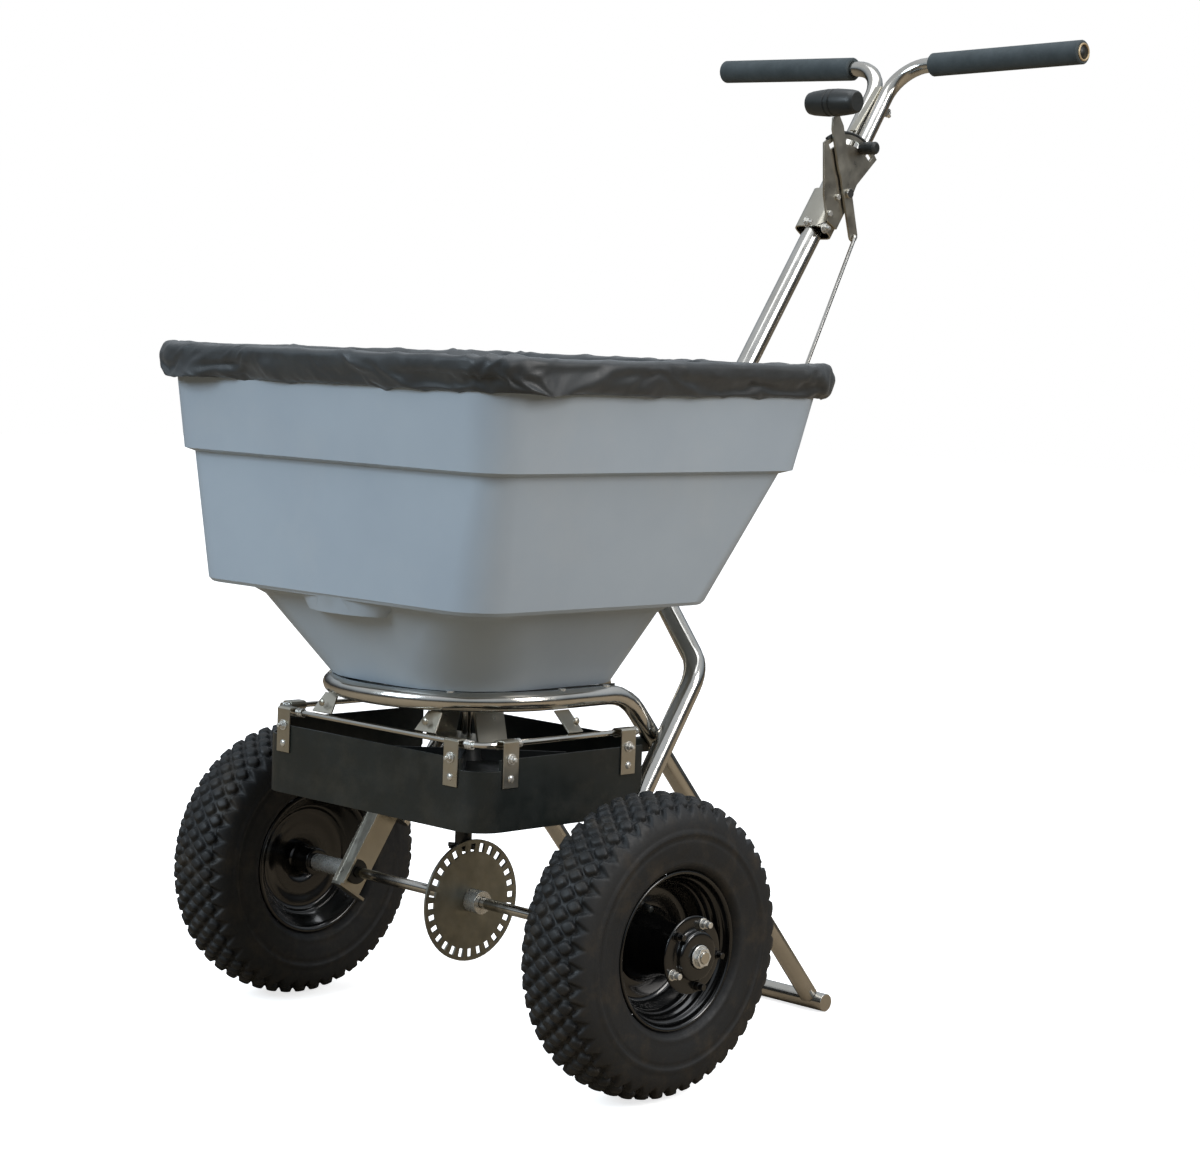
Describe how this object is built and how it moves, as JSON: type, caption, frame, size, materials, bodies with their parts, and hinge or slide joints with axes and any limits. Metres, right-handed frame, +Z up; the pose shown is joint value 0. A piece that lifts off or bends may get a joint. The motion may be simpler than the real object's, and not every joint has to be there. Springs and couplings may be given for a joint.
{
  "type": "garden spreader",
  "caption": "Push broadcast spreader with a covered grey hopper on a steel tube frame, wheels, a rubber deflector skirt and a rate lever on the handle.",
  "frame": {"origin": "middle of the footprint box, on the ground", "axes": "+Z up, -Y towards the front (the way it is pushed), +X towards the left of the person pushing"},
  "size_m": [0.7662, 0.9794, 1.192],
  "materials": {
    "steel": "polished",
    "plate": "brushed",
    "hopper": "satin",
    "black": "matte",
    "rim": "gloss",
    "tyre": "matte",
    "skirt": "matte",
    "foam": "matte foam",
    "cover": "matte coated cloth"
  },
  "bodies": {
    "frame": {"axle_bracket_left": "plate", "axle_bracket_right": "plate", "axle_bush_left": "black", "axle_bush_right": "black", "axle_spacer_left": "steel", "axle_spacer_right": "steel", "bearing_plate": "plate", "crank_hanger": "plate", "deflector_panel": "skirt", "deflector_skirt": "skirt", "deflector_wire": "steel", "gate_channel": "plate", "grip_left": "foam", "grip_right": "foam", "handle_bar": "steel", "handle_sleeve": "plate", "handle_tube_left": "steel", "handle_tube_right": "steel", "hopper": "hopper", "lever_pivot": "steel", "loop_tube": "steel", "rate_plate": "plate", "shaft_bush": "black", "shaft_hanger": "plate", "side_tube_left": "steel", "side_tube_right": "steel", "skirt_clip_front_left": "plate", "skirt_clip_front_right": "plate", "skirt_clip_left_back": "plate", "skirt_clip_left_front": "plate", "skirt_clip_right_back": "plate", "skirt_clip_right_front": "plate", "stand_foot": "steel", "wire_hanger_front_left": "plate", "wire_hanger_front_right": "plate", "wire_hanger_left": "plate", "wire_hanger_right": "plate"},
    "axle_set": {"axle": "steel", "gear_disc": "plate", "gear_hub": "steel", "rim_left": "rim", "tyre_left": "tyre", "wheel_hub_left": "rim", "axle_nut_left": "steel", "axle_nut_right": "steel"},
    "free_wheel": {"rim_right": "rim", "tyre_right": "tyre", "wheel_hub_right": "rim"},
    "spinner": {"impeller_shaft": "steel", "pinion": "black", "impeller": "black", "agitator": "steel"},
    "lever": {"rate_lever": "plate", "lever_knob": "black"},
    "rod": {"control_rod": "steel"},
    "crank": {"gate_crank": "plate"},
    "gate": {"gate_plate": "plate", "gate_link": "plate"},
    "stop": {"rate_stop": "black"},
    "cover": {"rain_cover": "cover"}
  },
  "joints": [
    {"name": "axle_spin", "type": "hinge", "parent": "frame", "child": "axle_set", "pos_m": [0, -0.23575, 0.165], "axis": [1, 0, 0], "continuous": true},
    {"name": "free_wheel_spin", "type": "hinge", "parent": "axle_set", "child": "free_wheel", "pos_m": [0, -0.23575, 0.165], "axis": [1, 0, 0], "continuous": true},
    {"name": "impeller_spin", "type": "hinge", "parent": "frame", "child": "spinner", "pos_m": [0, -0.23575, 0.3], "axis": [0, 0, 1], "continuous": true},
    {"name": "lever_swing", "type": "hinge", "parent": "frame", "child": "lever", "pos_m": [0.0294, 0.35525, 1.0015], "axis": [-1, 0, 0], "range_deg": [0, 25]},
    {"name": "rod_hang", "type": "hinge", "parent": "lever", "child": "rod", "pos_m": [0.035, 0.36925, 0.949], "axis": [-1, 0, 0], "range_deg": [-25, 0]},
    {"name": "crank_swing", "type": "hinge", "parent": "frame", "child": "crank", "pos_m": [0.0294, -0.06375, 0.4725], "axis": [-1, 0, 0], "range_deg": [0, 25]},
    {"name": "gate_slide", "type": "slide", "parent": "frame", "child": "gate", "axis": [0, -1, 0], "range_m": [0, 0.03467]},
    {"name": "stop_swing", "type": "hinge", "parent": "frame", "child": "stop", "pos_m": [0.0294, 0.35525, 1.0015], "axis": [-1, 0, 0], "range_deg": [0, 16]},
    {"name": "cover_lift", "type": "slide", "parent": "frame", "child": "cover", "axis": [0, 0, 1], "range_m": [0, 0.12]}
  ],
  "couplings": [
    {"joint": "impeller_spin", "follows": "axle_spin", "ratio": -4},
    {"joint": "rod_hang", "follows": "lever_swing", "ratio": -1},
    {"joint": "crank_swing", "follows": "lever_swing", "ratio": 1},
    {"joint": "gate_slide", "follows": "lever_swing", "m_per_rad": 0.079438}
  ]
}
